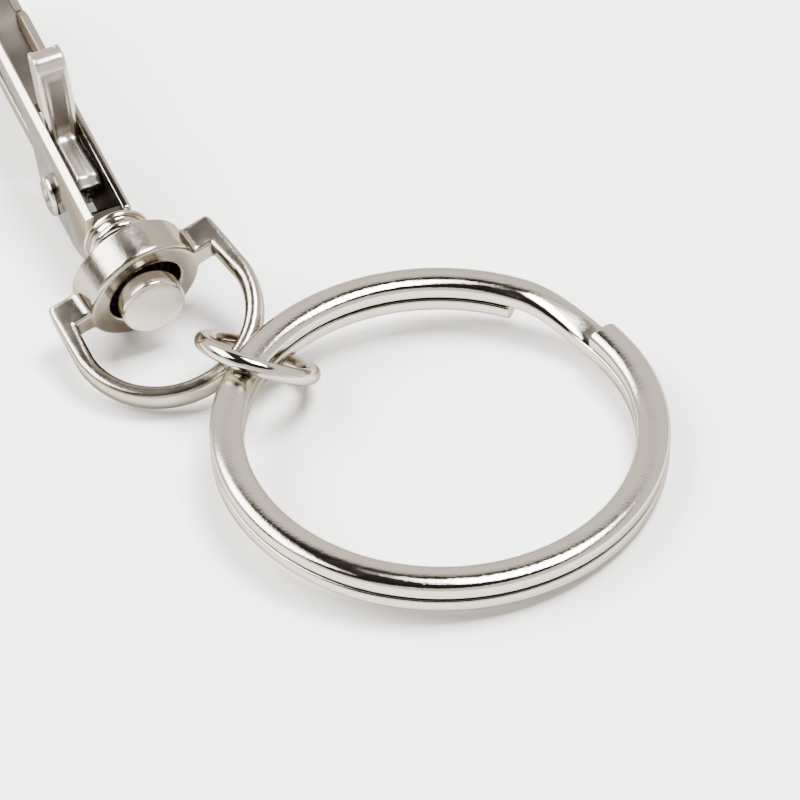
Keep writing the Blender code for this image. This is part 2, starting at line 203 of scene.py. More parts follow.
# ------------------------------------------------------------------------------- mesh helpers
def make_piece(builder, name, place, surface, sharp=40.0, painted_shade=None):
    """Turns a bmesh in millimetres into an object whose mesh lies where the piece lies."""
    bmesh.ops.recalc_face_normals(builder, faces=builder.faces)
    made = as_helper(builder)
    if painted_shade:
        lay_painted_shade(made, painted_shade)
    return settle(made, name, place, surface, sharp)


def settle(target, name, place, surface, sharp=None):
    """Names a body drawn in millimetres and brings its mesh to its place in metres."""
    target.name = name
    target.data.name = name
    target.data.transform(place @ Matrix.Scale(MM, 4))
    target.data.shade_smooth()
    if sharp:
        target.data.set_sharp_from_angle(angle=math.radians(sharp))
    target.data.materials.clear()
    target.data.materials.append(surface)
    return target


def bridge(builder, first, second):
    count = len(first)
    for i in range(count):
        j = (i + 1) % count
        builder.faces.new((first[i], first[j], second[j], second[i]))


def loft(builder, rings, closed=False):
    """Skins a list of point loops; the two ends are capped unless it closes."""
    loops = [[builder.verts.new(point) for point in ring] for ring in rings]
    for first, second in zip(loops, loops[1:]):
        bridge(builder, first, second)
    if closed:
        bridge(builder, loops[-1], loops[0])
    else:
        builder.faces.new(loops[0])
        builder.faces.new(loops[-1])


def rounded_section(width, height, power, sides):
    """A superellipse: power 2 is an ellipse, and larger powers are squarer."""
    points = []
    for i in range(sides):
        angle = math.tau * (i + 0.5) / sides
        c, s = math.cos(angle), math.sin(angle)
        points.append((
            math.copysign(abs(c) ** (2 / power), c) * width / 2,
            math.copysign(abs(s) ** (2 / power), s) * height / 2,
        ))
    return points


def arc(centre, radius, start, end, steps):
    points = []
    for i in range(steps + 1):
        angle = math.radians(start + (end - start) * i / steps)
        points.append((centre[0] + radius * math.cos(angle), centre[1] + radius * math.sin(angle)))
    return points


def eased(corners, steps=5):
    """Rounds the corners of an outline. Each corner is (u, v) or (u, v, radius)."""
    points = []
    count = len(corners)
    for i, corner in enumerate(corners):
        here = Vector(corner[:2])
        radius = corner[2] if len(corner) > 2 else 0
        if not radius:
            points.append(tuple(here))
            continue
        before = Vector(corners[i - 1][:2]) - here
        after = Vector(corners[(i + 1) % count][:2]) - here
        half = before.angle(after) / 2
        reach = min(radius / math.tan(half), before.length * 0.49, after.length * 0.49)
        bend = reach * math.tan(half)
        middle = here + (before.normalized() + after.normalized()).normalized() * bend / math.sin(half)
        start = here + before.normalized() * reach - middle
        turn = start.angle_signed(here + after.normalized() * reach - middle)
        for k in range(steps + 1):
            share = -turn * k / steps
            c, s = math.cos(share), math.sin(share)
            points.append((middle.x + start.x * c - start.y * s, middle.y + start.x * s + start.y * c))
    return points


def inset(outline, amount):
    """Moves an outline inwards along its own normals."""
    count = len(outline)
    area = sum(outline[i - 1][0] * outline[i][1] - outline[i][0] * outline[i - 1][1] for i in range(count))
    side = 1 if area > 0 else -1
    moved = []
    for i in range(count):
        here = Vector(outline[i])
        before = here - Vector(outline[i - 1])
        after = Vector(outline[(i + 1) % count]) - here
        before = before.normalized() if before.length > 1e-9 else after.normalized()
        after = after.normalized() if after.length > 1e-9 else before
        along = before + after
        along = along.normalized() if along.length > 1e-6 else before
        normal = Vector((-along.y, along.x)) * side
        stretch = 1 / max(normal.dot(Vector((-before.y, before.x)) * side), 0.5)
        moved.append(tuple(here + normal * amount * stretch))
    return moved


def rounding(radius, steps=4):
    """Edge profile of a slab: (inset of the outline, depth from the face) along a quarter round."""
    angles = [math.pi / 2 * k / steps for k in range(steps + 1)]
    return [(radius * (1 - math.sin(a)), radius * (1 - math.cos(a))) for a in angles]


def slab(builder, outline, low, high, low_edge=rounding(0.06), high_edge=rounding(0.06)):
    """Extrudes an outline of (y, z) points along x, with an edge profile on each side."""
    levels = [(amount, low + depth) for amount, depth in low_edge]
    levels += [(amount, high - depth) for amount, depth in reversed(high_edge)]
    loft(builder, [[(x, y, z) for y, z in inset(outline, amount)] for amount, x in levels])


def turned(builder, profile, sides):
    """Revolves a closed profile of (radius, y) points round the y axis."""
    rings = []
    for i in range(sides):
        c, s = math.cos(math.tau * i / sides), math.sin(math.tau * i / sides)
        rings.append([(r * c, y, r * s) for r, y in profile])
    loft(builder, rings, closed=True)


def solid_turned(builder, profile, sides, axis="Y"):
    """Revolves an open profile of (radius, place along axis) points; a flat face caps each end."""
    rings = []
    for r, a in profile:
        ring = []
        for i in range(sides):
            c, s = r * math.cos(math.tau * i / sides), r * math.sin(math.tau * i / sides)
            ring.append((c, a, s) if axis == "Y" else (a, c, s))
        rings.append(ring)
    loft(builder, rings)


def quarter_round(radius, face, edge, turn_out):
    """Profile points of a rounded edge between a face and the side of a turned piece."""
    points = []
    for angle in range(0, 91, 15):
        c, s = math.cos(math.radians(angle)), math.sin(math.radians(angle))
        points.append((radius - edge + edge * s, face + turn_out * edge * (1 - c)))
    return points


def tube(builder, path, radius, sides, across):
    """Round wire along a path; across is a direction that the path never follows."""
    rings = []
    for i, point in enumerate(path):
        along = (path[min(i + 1, len(path) - 1)] - path[max(i - 1, 0)]).normalized()
        side = (across - along * along.dot(across)).normalized()
        up = along.cross(side)
        ring = []
        for k in range(sides):
            turn = math.tau * k / sides
            ring.append(point + (side * math.cos(turn) + up * math.sin(turn)) * radius)
        rings.append(ring)
    loft(builder, rings)


def combine(target, other, operation):
    """Applies an exact Boolean and drops the other object."""
    cut = target.modifiers.new("cut", "BOOLEAN")
    cut.operation = operation
    cut.object = other
    cut.solver = "EXACT"
    apply_modifiers(target)
    bpy.data.objects.remove(other, do_unlink=True)


def apply_modifiers(target):
    bpy.context.view_layer.update()
    graph = bpy.context.evaluated_depsgraph_get()
    result = bpy.data.meshes.new_from_object(target.evaluated_get(graph))
    target.modifiers.clear()
    old = target.data
    target.data = result
    bpy.data.meshes.remove(old)


def helper(fill):
    """A temporary body for a Boolean, in millimetres."""
    builder = bmesh.new()
    fill(builder)
    bmesh.ops.recalc_face_normals(builder, faces=builder.faces)
    return as_helper(builder)


def as_helper(builder):
    mesh = bpy.data.meshes.new("helper")
    builder.to_mesh(mesh)
    builder.free()
    made = bpy.data.objects.new("helper", mesh)
    bpy.context.scene.collection.objects.link(made)
    return made


def cast(target, voxel, passes):
    """Melts joined shapes into one skin with softened edges, as plated castings have."""
    melt = target.modifiers.new("melt", "REMESH")
    melt.mode = "VOXEL"
    melt.voxel_size = voxel
    apply_modifiers(target)
    soften = target.modifiers.new("soften", "SMOOTH")
    soften.factor = 0.5
    soften.iterations = passes
    apply_modifiers(target)


# ---------------------------------------------------------------------------------- materials
def add(nodes, kind, **inputs):
    made = nodes.new(kind)
    for name, value in inputs.items():
        made.inputs[name].default_value = value
    return made


def ramp(nodes, low, high):
    """Maps a 0 to 1 input onto the range from low to high."""
    made = nodes.new("ShaderNodeMapRange")
    made.inputs["To Min"].default_value = low
    made.inputs["To Max"].default_value = high
    return made


def nickel(name, colour, roughness, grain, bump, stain=0.06):
    """Bright nickel plate: cloudy gloss, plating grain, faint stains and painted shade in the hollows."""
    made = bpy.data.materials.new(name)
    made.use_nodes = True
    tree = made.node_tree
    nodes, links = tree.nodes, tree.links
    shader = nodes["Principled BSDF"]
    place = nodes.new("ShaderNodeTexCoord")

    clouds = add(nodes, "ShaderNodeTexNoise", Scale=CLOUD_SCALE, Detail=3.0, Roughness=0.55)
    grains = add(nodes, "ShaderNodeTexNoise", Scale=grain, Detail=4.0, Roughness=0.65)
    for texture in (clouds, grains):
        links.new(place.outputs["Object"], texture.inputs["Vector"])
    # Mask of painted shade, laid on the mesh point by point.
    painted_shade = nodes.new("ShaderNodeAttribute")
    painted_shade.attribute_name = "painted_shade"

    gloss = ramp(nodes, *[roughness * share for share in GLOSS_RANGE])
    links.new(clouds.outputs["Fac"], gloss.inputs["Value"])
    dulled = nodes.new("ShaderNodeMix")
    dulled.inputs["B"].default_value = PAINTED_SHADE_ROUGHNESS
    links.new(painted_shade.outputs["Fac"], dulled.inputs["Factor"])
    links.new(gloss.outputs["Result"], dulled.inputs["A"])
    links.new(dulled.outputs["Result"], shader.inputs["Roughness"])

    stained = [c * (1 - stain) for c in colour]
    polished = [min(c * (1 + stain * 0.5), 1) for c in colour]
    tint = colour_mix(nodes, stained, polished)
    links.new(clouds.outputs["Fac"], tint.inputs["Factor"])
    # Painted shade: the mask darkens the colour towards near black.
    shaded_colour = colour_mix(nodes, colour, PAINTED_SHADE)
    links.new(painted_shade.outputs["Fac"], shaded_colour.inputs["Factor"])
    links.new(tint.outputs["Result"], shaded_colour.inputs["A"])
    links.new(shaded_colour.outputs["Result"], shader.inputs["Base Color"])
    shader.inputs["Metallic"].default_value = 1.0
    shader.inputs["Specular Tint"].default_value = (*EDGE_TINT, 1)

    fine = add(nodes, "ShaderNodeBump", Strength=bump, Distance=0.00002)
    links.new(grains.outputs["Fac"], fine.inputs["Height"])
    coarse = add(nodes, "ShaderNodeBump", Strength=bump * 0.5, Distance=0.00006)
    links.new(clouds.outputs["Fac"], coarse.inputs["Height"])
    links.new(fine.outputs["Normal"], coarse.inputs["Normal"])
    links.new(coarse.outputs["Normal"], shader.inputs["Normal"])
    return made


def colour_mix(nodes, low, high):
    made = nodes.new("ShaderNodeMix")
    made.data_type = "RGBA"
    made.inputs["A"].default_value = (*low, 1)
    made.inputs["B"].default_value = (*high, 1)
    return made


def lay_painted_shade(target, amount):
    """Marks how much painted shade each point gets; amount takes the point in the piece's own millimetres.
    """
    layer = target.data.attributes.new("painted_shade", "FLOAT", "POINT")
    for vertex, value in zip(target.data.vertices, layer.data):
        value.value = amount(vertex.co)


def fade(value, start, end):
    """0 at start, 1 at end and smooth between them."""
    share = min(max((value - start) / (end - start), 0.0), 1.0)
    return share * share * (3 - 2 * share)


def make_materials():
    """Each plate's colour, roughness, scale of the grain, strength of the bumps and stain."""
    return {
        "split_ring": nickel("ring_nickel_plate", WARM, 0.07, 5200.0, 0.6),
        "jump_ring": nickel("link_nickel_plate", WARM, 0.09, 6000.0, 0.12),
        "swivel_bow": nickel("bow_nickel_plate", DULL, 0.16, 2600.0, 0.70, 0.12),
        "swivel_pin": nickel("pin_nickel_plate", WARM, 0.17, 5200.0, 0.20, 0.08),
        "thrust_washer": nickel("washer_nickel_plate", WARM, 0.11, 5200.0, 0.15),
        "clasp_body": nickel("body_nickel_plate", DULL, 0.10, 3600.0, 0.14),
        "trigger_lever": nickel("lever_nickel_plate", WARM, 0.27, 3600.0, 0.80, 0.10),
        "pivot_rivet": nickel("rivet_nickel_plate", WARM, 0.16, 5200.0, 0.20, 0.08),
        "return_spring": nickel("spring_steel_wire", SPRING_STEEL, 0.24, 7000.0, 0.20),
    }


# ------------------------------------------------------------------------------------- pieces
def coil_section(flat_side, sides):
    """One coil's section; its corners are tight on the flat side, 1 up or -1 down."""
    height = (RING_HEIGHT - COIL_GAP) / 2
    round_part = rounded_section(RING_BAND, height, 2.3, sides)
    square_part = rounded_section(RING_BAND, height, 6.0, sides)
    points = []
    for (rx, rz), (sx, sz) in zip(round_part, square_part):
        share = 0.5 + 0.5 * flat_side * math.copysign(1, rz)
        points.append((rx + (sx - rx) * share, rz + (sz - rz) * share))
    return points


def split_ring(surface):
    """Flat wire wound twice, with a crank that steps from the upper coil to the lower."""
    level = (RING_HEIGHT + COIL_GAP) / 4
    crank_from = CRANK_START - 360.0
    stop = LOWER_END - 720.0
    steps, sides = 900, 44
    radius = (RING_OD - RING_BAND) / 2 - RING_MARGIN
    end_shrink, end_push = (1.0, 0.985, 0.93), (0.0, 0.035, 0.05)  # rounds off the cut ends
    rings = []
    for i in range(-2, steps + 3):
        angle = UPPER_END + (stop - UPPER_END) * min(max(i, 0), steps) / steps
        ease = fade(crank_from - angle, 0.0, CRANK_LENGTH)
        wobble = 0.008 * noise.noise(Vector((angle * 0.05, 0.0, 3.1)))
        height = level * (1 - 2 * ease)
        c, s = math.cos(math.radians(angle)), math.sin(math.radians(angle))
        beyond = max(-i, i - steps, 0)
        shrink = end_shrink[beyond]
        push = end_push[beyond] * (1 if i < 0 else -1)
        ring = []
        for across, up in coil_section(2 * ease - 1, sides):
            r = radius + across * shrink + wobble
            ring.append((r * c - push * s, r * s + push * c, height + up * shrink * 0.99))
        rings.append(ring)
    builder = bmesh.new()
    loft(builder, rings)
    return make_piece(builder, "split_ring_wire", RING_FRAME, surface, painted_shade=seam_painted_shade)


def seam_painted_shade(point):
    """Painted shade in the seam where the two coils lie on each other."""
    angle = math.degrees(math.atan2(point.y, point.x))
    if UPPER_END - 1 < angle < LOWER_END + 1:
        return 0.0
    return 1 - fade(abs(point.z), 0.07, 0.13)


def jump_ring(surface):
    """Round wire bent into a ring, with a fine cut whose ends sit slightly out of line."""
    sides, steps = 28, 220
    end_shrink, end_push = (1.0, 0.97, 0.86), (0.0, 0.03, 0.05)  # rounds off the cut ends
    rings = []
    for i in range(-2, steps + 3):
        share = min(max(i / steps, 0), 1)
        angle = math.radians(LINK_CUT / 2 + (360 - LINK_CUT) * share)
        beyond = max(-i, i - steps, 0)
        shrink = end_shrink[beyond]
        push = end_push[beyond] * (-1 if i < 0 else 1)
        near_end = max(0.0, 1 - min(share, 1 - share) * 30)
        c, s = math.cos(angle), math.sin(angle)
        side_step = LINK_OFFSET * (share - 0.5)
        ring = []
        for k in range(sides):
            turn = math.tau * k / sides
            wire = LINK_WIRE / 2 * shrink
            out = LINK_RADIUS + wire * math.cos(turn) * (1 - 0.05 * near_end)
            ring.append((out * c - push * s, out * s + push * c, side_step + wire * math.sin(turn)))
        rings.append(ring)
    builder = bmesh.new()
    loft(builder, rings)
    return make_piece(builder, "jump_ring_wire", LINK_FRAME, surface, painted_shade=cut_painted_shade)


def cut_painted_shade(point):
    """Painted shade on the link's cut ends, in the gap between them."""
    angle = abs(math.degrees(math.atan2(point.y, point.x)))
    return 1 - fade(angle, LINK_CUT / 2, LINK_CUT / 2 + 0.9)


def bow_path():
    """Centreline of the bow's wire in its plane, from one end of the bar to the other."""
    back = COLLAR_LENGTH / 2
    turn = back - BOW_LEG
    legs = 18
    left = []
    for i in range(legs):
        share = 0.12 + 0.88 * i / legs
        left.append((-BOW_HALF_BAR - (BOW_RADIUS - BOW_HALF_BAR) * share, back - BOW_LEG * share))
    right = [(-x, y) for x, y in reversed(left)]
    return left + arc((0, turn), BOW_RADIUS, 180, 360, 90) + right


def bow_wire(builder):
    """Wire that is square at the shoulders and rounder along the bend."""
    path = bow_path()
    rings = []
    for i, (x, y) in enumerate(path):
        before, after = path[max(i - 1, 0)], path[min(i + 1, len(path) - 1)]
        along = Vector((after[0] - before[0], after[1] - before[1])).normalized()
        across = Vector((along.y, -along.x))
        shoulder = max(0.0, 1 - min(i, len(path) - 1 - i) / 22)
        ring = []
        for u, v in rounded_section(*BOW_WIRE, power=2.5 + 3.0 * shoulder, sides=40):
            ring.append((x + across.x * u, y + across.y * u, v))
        rings.append(ring)
    loft(builder, rings)


def strap(builder):
    """The bar across the bow, swelling into the collar with a hollow fillet."""
    half_length = BOW_HALF_BAR + BOW_WIRE[0] / 2
    half_thick = BOW_WIRE[1] / 2
    collar_reach = COLLAR_OD / 2 - 0.15
    reach = collar_reach + STRAP_FILLET
    rise = half_thick + STRAP_FILLET
    centre_x = math.sqrt(reach**2 - rise**2)
    start = math.degrees(math.atan2(-rise, -centre_x))
    corner = arc((half_length - STRAP_CORNER, half_thick - STRAP_CORNER), STRAP_CORNER, 90, 0, 5)
    upper = arc((centre_x, rise), STRAP_FILLET, start, -90, 14) + corner
    outline = upper + [(x, -z) for x, z in reversed(upper)]
    outline += [(-x, -z) for x, z in upper] + [(-x, z) for x, z in reversed(upper)]
    half = COLLAR_LENGTH / 2 - 0.10
    levels = [(-half + depth, amount) for amount, depth in rounding(STRAP_RIM)]
    levels += [(-y, amount) for y, amount in reversed(levels)]
    loft(builder, [[(x, y, z) for x, z in inset(outline, amount)] for y, amount in levels])


def collar(builder):
    """Round boss with a soft rim in front; it stands out behind the bar."""
    front, back = -COLLAR_LENGTH / 2, COLLAR_LENGTH / 2 + COLLAR_BACK
    outer = COLLAR_OD / 2
    profile = quarter_round(outer, front, 0.32, 1) + quarter_round(outer, back, 0.12, -1)[::-1]
    solid_turned(builder, profile, sides=160)


def collar_cutter(builder):
    half = COLLAR_LENGTH / 2
    step = half - COLLAR_WEB
    wide, narrow = COUNTERBORE / 2, COLLAR_BORE / 2
    profile = [(wide + 0.2, -half - 0.2), (wide, -half + 0.14), (wide, step), (narrow, step)]
    profile += [(narrow, half + 0.5)]
    solid_turned(builder, profile, sides=120)


def collar_painted_shade(point):
    """Painted shade: the counterbore is darkened to near black inside, and dulled."""
    wall = COUNTERBORE / 2
    inside = 1 - fade(math.hypot(point.x, point.z), wall - 0.02, wall + 0.10)
    return inside * fade(point.y, -COLLAR_LENGTH / 2 + 0.02, -COLLAR_LENGTH / 2 + 0.25)


def swivel_bow(surface):
    """D-shaped bow with a bored collar in the middle of its bar, cast in one piece."""
    bow = helper(collar)
    combine(bow, helper(strap), "UNION")
    combine(bow, helper(bow_wire), "UNION")
    combine(bow, helper(collar_cutter), "DIFFERENCE")
    cast(bow, voxel=0.075, passes=4)
    # painted shade inside the counterbore
    lay_painted_shade(bow, collar_painted_shade)
    return settle(bow, "swivel_bow_casting", BOW_FRAME, surface)


def swivel_pin(surface):
    """Headed pin through the collar, riveted over inside the clasp."""
    head, thick = PIN_HEAD
    tail, tail_thick = PIN_TAIL
    tail_face = CLASP_START + END_WALL + 0.05
    front, back = PIN_HEAD_FRONT, PIN_HEAD_FRONT + thick
    profile = [(0.4, front + 0.03), (1.3, front + 0.02)] + quarter_round(head / 2, front, 0.20, 1)
    profile += quarter_round(head / 2, back, 0.16, -1)[::-1]
    profile += [(PIN_SHANK / 2 + 0.06, back), (PIN_SHANK / 2, back + 0.06), (PIN_SHANK / 2, WASHER[1])]
    profile += [(PIN_NECK / 2, WASHER[1]), (PIN_NECK / 2, tail_face), (tail / 2, tail_face)]
    profile += [(tail / 2, tail_face + 0.15), (tail / 2 - 0.2, tail_face + tail_thick - 0.08)]
    profile += [(0.2, tail_face + tail_thick)]
    builder = bmesh.new()
    solid_turned(builder, profile, sides=140)
    return make_piece(builder, "swivel_pin_turned", SWIVEL_FRAME, surface)


def thrust_washer(surface):
    """Washer rolled from tube: a round bead towards the collar and a thin flange on the clasp."""
    front, back = WASHER
    flange, inner = WASHER_OD / 2, WASHER_BORE / 2
    radius = 0.40
    bead = (WASHER_BEAD / 2 - radius, front + radius + 0.02)
    profile = [(inner, front + 0.10), (inner + 0.10, front + 0.01), (bead[0] - 0.2, front + 0.01)]
    for angle in range(-80, 81, 10):
        c, s = math.cos(math.radians(angle)), math.sin(math.radians(angle))
        profile.append((bead[0] + radius * c, bead[1] + radius * s))
    root = back - 0.46
    profile += [(bead[0] + 0.10, root), (bead[0] + 0.12, root + 0.05), (flange - 0.16, root + 0.07)]
    profile += [(flange - 0.05, root + 0.12), (flange - 0.01, root + 0.22), (flange - 0.03, back - 0.08)]
    profile += [(flange - 0.12, back - 0.01), (inner + 0.05, back), (inner, back - 0.05)]
    builder = bmesh.new()
    turned(builder, profile, sides=140)
    return make_piece(builder, "thrust_washer_rolled", SWIVEL_FRAME, surface)


def plate_outline():
    """Side view of the clasp: body, spine, nose and the mouth between them."""
    outer = eased([
        (CLASP_START, NECK_BOTTOM), (CLASP_START, TOP_EDGE, 0.25), (SHOULDER, TOP_EDGE, 0.6),
        (SHOULDER + 0.7, TOP_EDGE - 0.2, 0.5), (SHOULDER + 1.3, TOP_EDGE - 0.62, 0.5),
        (31.0, 1.56),
    ])
    nose = arc(NOSE_CENTRE, NOSE_RADIUS, 90, -104, 60)
    inner = arc(MOUTH_CENTRE, MOUTH_RADIUS, -104, 90, 44)
    throat = eased([
        (19.5, MOUTH_TOP), (17.4, 0.30, 2.0), (16.0, -0.9, 1.2), (15.6, -2.9, 1.5),
        (14.9, BOTTOM_EDGE, 0.8), (8.0, BOTTOM_EDGE, 2.0), (6.0, -4.0, 1.5), (4.6, -2.8, 1.2),
        (CLASP_START, NECK_BOTTOM),
    ], steps=6)
    return outer + nose + inner + throat[:-1]


def core_outline():
    """What joins the two plates: a web along the mouth, which thickens into the nose."""
    low, high = MOUTH_TOP + 0.02, MOUTH_TOP + SHEET
    inner = arc(MOUTH_CENTRE, MOUTH_RADIUS + 0.05, 85, -102, 40)
    outer = arc(NOSE_CENTRE, NOSE_RADIUS - 0.06, -102, 88, 52)
    top = [(SHOULDER + 1.2, 1.5), (SHOULDER + 0.3, high), (16.9, high)]
    return [(16.6, low)] + inner + outer + top


def floor_outline():
    """The channel's floor, which runs down from the end wall to the bottom edge."""
    below = [(3.9, -2.25), (4.7, -3.0), (5.9, -3.8), (8.0, -4.6), (10.2, -4.6)]
    above = [(10.4, -4.15), (8.1, -4.15), (6.2, -3.4), (4.2, -1.9)]
    return below + above


def end_wall_outline():
    near, far, top = CLASP_START + 0.03, CLASP_START + END_WALL, 1.9
    return [(near, NECK_BOTTOM + 0.1), (near, top), (far, top), (far, NECK_BOTTOM - 0.2)]


def bore_cutter(builder):
    ring = arc(PIVOT, RIVET_BORE / 2, 0, 352.5, 47)
    loft(builder, [[(x, y, z) for y, z in ring] for x in (-3, 3)])


def clasp_body(surface):
    """Folded sheet channel, open along its top, drawn out into a hooked nose."""
    inner, outer = CLASP_WIDTH / 2 - SHEET, CLASP_WIDTH / 2
    sheared, crisp, soft = SHEARED_EDGE, rounding(0.06), rounding(0.26, 6)
    body = helper(lambda b: slab(b, plate_outline(), -outer, -inner, sheared, crisp))
    combine(body, helper(lambda b: slab(b, plate_outline(), inner, outer, crisp, soft)), "UNION")
    reach = inner + 0.25
    hidden = rounding(0.02)
    for outline in (core_outline(), floor_outline(), end_wall_outline()):
        between = helper(lambda b, o=outline: slab(b, o, -reach, reach, hidden, hidden))
        combine(body, between, "UNION")
    combine(body, helper(bore_cutter), "DIFFERENCE")
    combine(body, helper(pin_bore), "DIFFERENCE")
    # painted shade inside the channel
    lay_painted_shade(body, channel_painted_shade)
    return settle(body, "clasp_body_sheet", CLASP_FRAME, surface, sharp=30)


def channel_painted_shade(point):
    """Painted shade inside the channel: darker deeper down and most of all around the pin's end, lighter
    and mottled along the spine.
    """
    wall = CLASP_WIDTH / 2 - SHEET
    inside = 1 - fade(abs(point.x), wall + 0.02, wall + 0.10)
    depth = fade(point.z, TOP_EDGE - 0.05, TOP_EDGE - 0.5)
    mottle = 0.5 + 0.5 * noise.fractal(point * 1.6, 0.6, 2.2, 3)
    near_pin = 0.28 * (1 - fade(point.y, 7.0, 10.0))
    spine = 0.5 * mottle * fade(point.y, 14.0, 17.0)
    above_mouth = fade(point.z, MOUTH_TOP - 0.1, MOUTH_TOP + 0.1) if point.y > 16.0 else 1.0
    return max(0.0, min(1.0, inside * depth * (0.72 + near_pin - spine) * above_mouth))


def pin_bore(builder):
    neck = PIN_NECK / 2 + 0.06
    solid_turned(builder, [(neck, CLASP_START - 1), (neck, 5.5)], sides=48)
    bmesh.ops.translate(builder, verts=builder.verts, vec=(SWIVEL_OFFSET, 0, 0))


def lever_cheek():
    """Side view of one cheek of the lever, from its tail past the pivot to the gate."""
    tail = eased([(8.0, 1.15, 0.2), (7.75, 0.8, 0.2), (7.9, 0.3, 0.2), (9.8, -1.2, 1.0), (10.6, -2.4)])
    hub = arc(PIVOT, 1.35, 172, 268, 16)
    gate = [(17.0, -4.75), (30.0, -5.1), (31.7, -5.1), (32.1, -4.95), (32.2, -4.6), (32.0, -3.95)]
    back = eased([
        (30.0, -3.95), (18.0, -3.55), (15.2, -2.4, 1.6), (14.0, 0.2, 2.0), (13.9, 0.9, 0.4), (13.5, 1.10),
    ], steps=6)
    return tail[:-1] + hub + gate + back


def lever(surface):
    """Trigger lever: two cheeks under a top web, a thumb tab and the gate, bent from one sheet."""
    half = LEVER_WIDTH / 2
    inner = half - LEVER_SHEET
    gate = [(16.9, -4.7), (30.0, -5.05), (31.7, -5.05), (32.1, -4.6), (31.9, -4.05), (30.0, -4.0)]
    gate += [(18.0, -3.6), (15.8, -2.75)]
    builder = bmesh.new()
    slab(builder, lever_cheek(), -half, -inner)
    slab(builder, lever_cheek(), inner, half)
    slab(builder, gate, -inner - 0.2, inner + 0.2, rounding(0.02), rounding(0.02))
    lever_web(builder)
    thumb_tab(builder)
    bmesh.ops.recalc_face_normals(builder, faces=builder.faces)
    made = as_helper(builder)
    cast(made, voxel=0.06, passes=3)
    combine(made, helper(bore_cutter), "DIFFERENCE")
    # painted shade in the tab's groove
    lay_painted_shade(made, groove_painted_shade)
    return settle(made, "trigger_lever_sheet", CLASP_FRAME, surface)


def groove_painted_shade(point):
    """Painted shade in the groove down the front of the tab."""
    across = 1 - fade(abs(point.x), TAB_WIDTH * 0.20, TAB_WIDTH * 0.30)
    along = fade(point.z, 2.0, 2.6) * (1 - fade(point.z, 6.2, 6.6))
    front_face = 1 - fade(point.y, 13.3, 13.6)
    return 0.55 * across * along * front_face


def lever_web(builder):
    """Top of the lever: two low lengthwise ridges, and a foot that rises into the tab."""
    half = LEVER_WIDTH / 2
    start, length, top, underside = 7.62, 5.9, 1.66, 0.85
    steps, columns = 60, 32
    rings = []
    for i in range(steps + 1):
        share = i / steps
        y = start + length * share
        drop = 0.55 * (1 - fade(share, 0.0, 0.15)) ** 2 + 0.42 * share
        rise = 0.75 * fade(share, 0.76, 1.0)
        ring = []
        for k in range(columns + 1):
            x = -half + 2 * half * k / columns
            ridge = 0.07 * (0.5 - 0.5 * math.cos(math.tau * x / half)) if abs(x) < half else 0.0
            shoulder = 0.30 * abs(x / half) ** 7
            ring.append((x, y, top + ridge - drop + rise - shoulder))
        ring += [(half, y, underside), (-half, y, underside)]
        rings.append(ring)
    loft(builder, rings)


def thumb_tab(builder):
    """Tab drawn up from the web: a tray, open behind, with a groove down its front."""
    front = eased([(12.4, 1.1), (13.22, 7.2, 0.9), (13.85, 8.02, 0.9), (15.28, 7.45)], steps=12)
    points = [Vector((0, y, z)) for y, z in front]
    columns = 28
    rings = []
    for i, point in enumerate(points):
        along = (points[min(i + 1, len(points) - 1)] - points[max(i - 1, 0)]).normalized()
        out = Vector((0, -along.z, along.y))
        half = tab_half_width(point.z)
        groove = 0.20 * (1 - fade(point.z, 6.3, 6.7))
        ring = []
        for k in range(columns + 1):
            x = -half + 2 * half * k / columns
            dip = groove * (1 - fade(abs(x), half * 0.50, half * 0.66))
            edge = 0.16 * abs(x / half) ** 12
            ring.append(point - out * (dip + edge) + Vector((x, 0, 0)))
        back, sideways = point - out * LEVER_SHEET, Vector((half, 0, 0))
        ring += [back + sideways, back - sideways]
        rings.append(ring)
    loft(builder, rings)
    for side in (-1, 1):
        tab_flank(builder, side)


def tab_half_width(height):
    """The tab fits between the plates at its foot and is a little wider above them."""
    return LEVER_WIDTH / 2 + (TAB_WIDTH - LEVER_WIDTH) / 2 * fade(height, 2.6, 3.6)


def tab_flank(builder, side):
    """Side wall of the tab, which runs back from the front face."""
    foot, height, wall = 1.2, 6.5, 0.36
    steps = 24
    rings = []
    for i in range(steps + 1):
        z = foot + height * i / steps
        top = max(0.0, z - 7.0)
        front = 12.54 + 0.125 * (z - 1.1) + top * 0.9
        back = 13.95 + 0.21 * (z - 1.3) - top * 0.25
        outer = tab_half_width(z) * side
        inner = outer - wall * side
        rings.append([
            (outer, front, z), (outer, back - 0.1, z), (outer - 0.1 * side, back, z),
            (inner, back, z), (inner, front, z),
        ])
    loft(builder, rings)


def pivot_rivet(surface):
    """Rivet across the clasp, its heads turned over with a dimple in the middle."""
    head, thick = RIVET_HEAD
    face = CLASP_WIDTH / 2 + 0.05
    half = [(RIVET_SHAFT / 2, face), (head / 2 - 0.04, face), (head / 2, face + 0.05)]
    half += [(head / 2 - 0.05, face + thick * 0.6), (head / 2 - 0.22, face + thick * 0.95)]
    half += [(head / 2 - 0.45, face + thick), (0.72, face + thick * 0.85), (0.60, face + thick * 0.45)]
    half += [(0.30, face + thick * 0.35)]
    profile = [(r, -x) for r, x in reversed(half)] + half
    builder = bmesh.new()
    solid_turned(builder, profile, sides=96, axis="X")
    return make_piece(builder, "pivot_rivet_turned", PIVOT_FRAME, surface)


